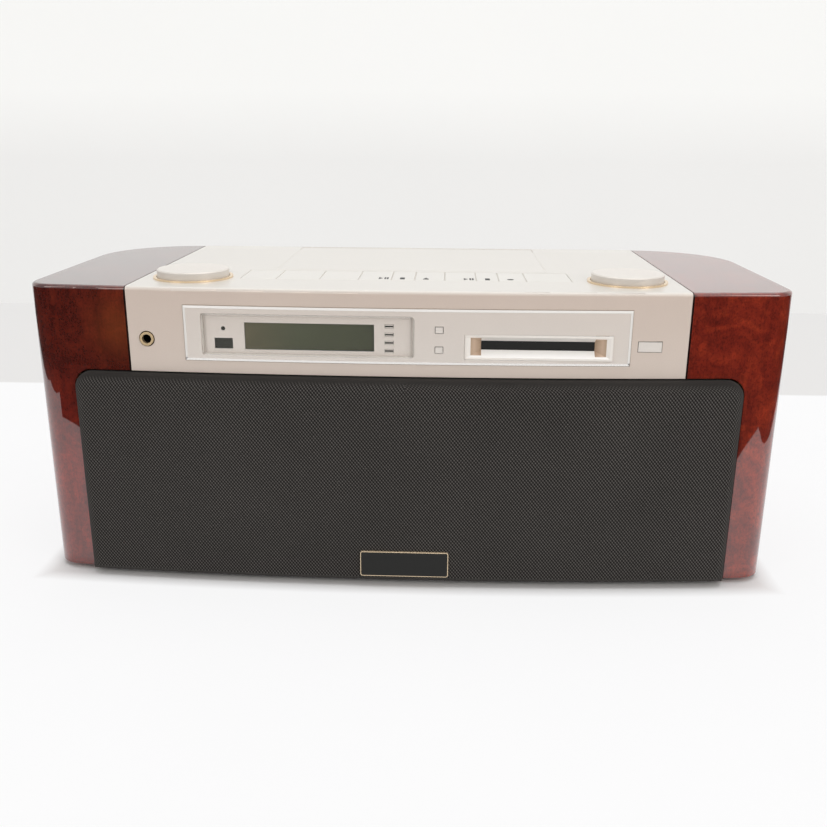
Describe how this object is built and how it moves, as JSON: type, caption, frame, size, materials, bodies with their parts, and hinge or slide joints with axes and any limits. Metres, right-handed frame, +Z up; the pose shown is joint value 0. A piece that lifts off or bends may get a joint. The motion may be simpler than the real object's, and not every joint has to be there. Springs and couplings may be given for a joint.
{
  "type": "compact disc and cartridge stereo",
  "caption": "Tabletop stereo with lacquered wooden side wings, a bowed cloth grille, a fall-front control panel, a cartridge slot and a motor-driven disc lid on top.",
  "frame": {"origin": "centre of the overall box on the ground, under the feet", "axes": "+X right seen from the front, +Y towards the back, +Z up; the front faces -Y"},
  "size_m": [0.527, 0.2426, 0.2215],
  "materials": {
    "wing_lacquer": "gloss lacquer, red-brown figured veneer",
    "cover_plastic": "satin champagne",
    "key_plastic": "satin champagne",
    "panel_plastic": "satin champagne",
    "slot_plastic": "satin champagne with gold cheeks",
    "grille_cloth": "knitted charcoal cloth",
    "black_plastic": "matt black",
    "badge_black": "dark bare plate with a thin gold border",
    "particle_board": "raw board",
    "black_rubber": "matt",
    "speaker_steel": "black paint, rubber surround",
    "magnet_iron": "dull grey",
    "cone_paper": "black paper pulp",
    "window_smoke": "tinted clear pane",
    "lcd_glass": "dark olive display",
    "lamp_plastic": "dark translucent",
    "jack_brass": "gold plated",
    "circuit_board": "green solder mask",
    "knob_metal": "polished champagne",
    "ring_gold": "bright gold",
    "gear_plastic": "white moulding",
    "deck_plastic": "fine grained dark grey",
    "platter_metal": "turned",
    "pickup_metal": "die cast, dark",
    "rod_chrome": "ground",
    "sheet_steel": "plated sheet",
    "sink_aluminium": "natural",
    "core_iron": "varnished laminations",
    "rear_plastic": "grained black",
    "screw_steel": "black zinc"
  },
  "bodies": {
    "casing": {"right_wing": "wing_lacquer", "left_wing": "wing_lacquer", "upper_cover": "cover_plastic", "grille_cloth": "grille_cloth", "grille_frame": "black_plastic", "badge_plate": "badge_black", "baffle_board": "particle_board", "base_plate": "particle_board", "inner_boards": "particle_board", "rubber_feet": "black_rubber", "speaker_baskets": "speaker_steel", "speaker_magnets": "magnet_iron", "sub_panel": "panel_plastic", "display_window": "window_smoke", "lcd_module": "lcd_glass", "indicator_lamps": "lamp_plastic", "md_slot_frame": "slot_plastic", "md_drive": "sheet_steel", "phones_jack": "jack_brass", "control_boards": "circuit_board", "knob_rings": "ring_gold", "lid_motor": "sheet_steel", "lid_hinge_pins": "rod_chrome", "cd_deck": "deck_plastic", "drive_motors": "sheet_steel", "guide_rods": "rod_chrome", "mechanism_base": "sheet_steel", "main_board": "circuit_board", "heat_sink": "sink_aluminium", "power_transformer": "core_iron", "rear_panel": "rear_plastic", "ac_inlet": "black_plastic", "line_jacks": "black_plastic", "antenna_terminals": "black_plastic", "screws": "screw_steel"},
    "lid": {"cd_lid": "cover_plastic", "lid_sector_gear": "gear_plastic"},
    "lid_pinion": {"lid_pinion": "gear_plastic"},
    "disc_clamp": {"cd_clamp": "black_plastic"},
    "turntable": {"turntable": "platter_metal"},
    "pickup": {"optical_pickup": "pickup_metal"},
    "feed_gear": {"feed_gear": "gear_plastic"},
    "left_knob": {"left_knob": "knob_metal"},
    "right_knob": {"right_knob": "knob_metal"},
    "display_button": {"display_button": "panel_plastic"},
    "play_mode_button": {"play_mode_button": "panel_plastic"},
    "eject_button": {"md_eject_button": "cover_plastic"},
    "slot_door": {"md_slot_door": "black_plastic"},
    "right_cone": {"right_cone": "cone_paper"},
    "left_cone": {"left_cone": "cone_paper"},
    "power_key": {"power_key": "key_plastic"},
    "timer_key": {"timer_key": "key_plastic"},
    "tuner_key": {"tuner_key": "key_plastic"},
    "cd_play_key": {"cd_play_key": "key_plastic"},
    "cd_stop_key": {"cd_stop_key": "key_plastic"},
    "lid_key": {"lid_key": "key_plastic"},
    "md_play_key": {"md_play_key": "key_plastic"},
    "md_stop_key": {"md_stop_key": "key_plastic"},
    "record_key": {"record_key": "key_plastic"},
    "line_key": {"line_key": "key_plastic"}
  },
  "joints": [
    {"name": "lid_hinge", "type": "hinge", "parent": "casing", "child": "lid", "pos_m": [0, 0.10975, 0.2115], "axis": [-1, 0, 0], "range_deg": [0, 70]},
    {"name": "pinion_spin", "type": "hinge", "parent": "casing", "child": "lid_pinion", "pos_m": [0.0895, 0.08156, 0.20124], "axis": [-1, 0, 0], "range_deg": [-285, 5]},
    {"name": "clamp_spin", "type": "hinge", "parent": "lid", "child": "disc_clamp", "pos_m": [0, 0.04155, 0.2074], "axis": [0, 0, 1], "continuous": true},
    {"name": "disc_spin", "type": "hinge", "parent": "casing", "child": "turntable", "pos_m": [0, 0.04155, 0.203], "axis": [0, 0, 1], "continuous": true},
    {"name": "pickup_feed", "type": "slide", "parent": "casing", "child": "pickup", "axis": [-1, 0, 0], "range_m": [0, 0.034]},
    {"name": "feed_spin", "type": "hinge", "parent": "casing", "child": "feed_gear", "pos_m": [-0.036, 0.01115, 0.194], "axis": [0, 0, 1], "range_deg": [-3, 307.4]},
    {"name": "left_knob_turn", "type": "hinge", "parent": "casing", "child": "left_knob", "pos_m": [-0.1555, -0.06175, 0.215], "axis": [0, 0, 1], "continuous": true},
    {"name": "right_knob_turn", "type": "hinge", "parent": "casing", "child": "right_knob", "pos_m": [0.1555, -0.06175, 0.215], "axis": [0, 0, 1], "continuous": true},
    {"name": "power_key_press", "type": "slide", "parent": "casing", "child": "power_key", "axis": [0, 0, -1], "range_m": [0, 0.001], "stiffness_N_per_m": 400, "springref_m": -0.0005},
    {"name": "timer_key_press", "type": "slide", "parent": "casing", "child": "timer_key", "axis": [0, 0, -1], "range_m": [0, 0.001], "stiffness_N_per_m": 400, "springref_m": -0.0005},
    {"name": "tuner_key_press", "type": "slide", "parent": "casing", "child": "tuner_key", "axis": [0, 0, -1], "range_m": [0, 0.001], "stiffness_N_per_m": 400, "springref_m": -0.0005},
    {"name": "cd_play_key_press", "type": "slide", "parent": "casing", "child": "cd_play_key", "axis": [0, 0, -1], "range_m": [0, 0.001], "stiffness_N_per_m": 400, "springref_m": -0.0005},
    {"name": "cd_stop_key_press", "type": "slide", "parent": "casing", "child": "cd_stop_key", "axis": [0, 0, -1], "range_m": [0, 0.001], "stiffness_N_per_m": 400, "springref_m": -0.0005},
    {"name": "lid_key_press", "type": "slide", "parent": "casing", "child": "lid_key", "axis": [0, 0, -1], "range_m": [0, 0.001], "stiffness_N_per_m": 400, "springref_m": -0.0005},
    {"name": "md_play_key_press", "type": "slide", "parent": "casing", "child": "md_play_key", "axis": [0, 0, -1], "range_m": [0, 0.001], "stiffness_N_per_m": 400, "springref_m": -0.0005},
    {"name": "md_stop_key_press", "type": "slide", "parent": "casing", "child": "md_stop_key", "axis": [0, 0, -1], "range_m": [0, 0.001], "stiffness_N_per_m": 400, "springref_m": -0.0005},
    {"name": "record_key_press", "type": "slide", "parent": "casing", "child": "record_key", "axis": [0, 0, -1], "range_m": [0, 0.001], "stiffness_N_per_m": 400, "springref_m": -0.0005},
    {"name": "line_key_press", "type": "slide", "parent": "casing", "child": "line_key", "axis": [0, 0, -1], "range_m": [0, 0.001], "stiffness_N_per_m": 400, "springref_m": -0.0005},
    {"name": "display_button_press", "type": "slide", "parent": "casing", "child": "display_button", "axis": [0, 1, 0], "range_m": [0, 0.0008], "stiffness_N_per_m": 300, "springref_m": -0.0005},
    {"name": "play_mode_button_press", "type": "slide", "parent": "casing", "child": "play_mode_button", "axis": [0, 1, 0], "range_m": [0, 0.0008], "stiffness_N_per_m": 300, "springref_m": -0.0005},
    {"name": "eject_button_press", "type": "slide", "parent": "casing", "child": "eject_button", "axis": [0, 1, 0], "range_m": [0, 0.0008], "stiffness_N_per_m": 300, "springref_m": -0.0005},
    {"name": "slot_door_swing", "type": "hinge", "parent": "casing", "child": "slot_door", "pos_m": [0.0898, -0.1048, 0.1819], "axis": [1, 0, 0], "range_deg": [0, 80], "stiffness_Nm_per_rad": 0.0006, "springref_deg": -20.05},
    {"name": "right_cone_stroke", "type": "slide", "parent": "casing", "child": "right_cone", "axis": [0, -1, 0], "range_m": [-0.0015, 0.0015], "stiffness_N_per_m": 1500},
    {"name": "left_cone_stroke", "type": "slide", "parent": "casing", "child": "left_cone", "axis": [0, -1, 0], "range_m": [-0.0015, 0.0015], "stiffness_N_per_m": 1500}
  ],
  "couplings": [
    {"joint": "pinion_spin", "follows": "lid_hinge", "ratio": -4},
    {"joint": "feed_spin", "follows": "pickup_feed", "rad_per_m": 156.25}
  ]
}
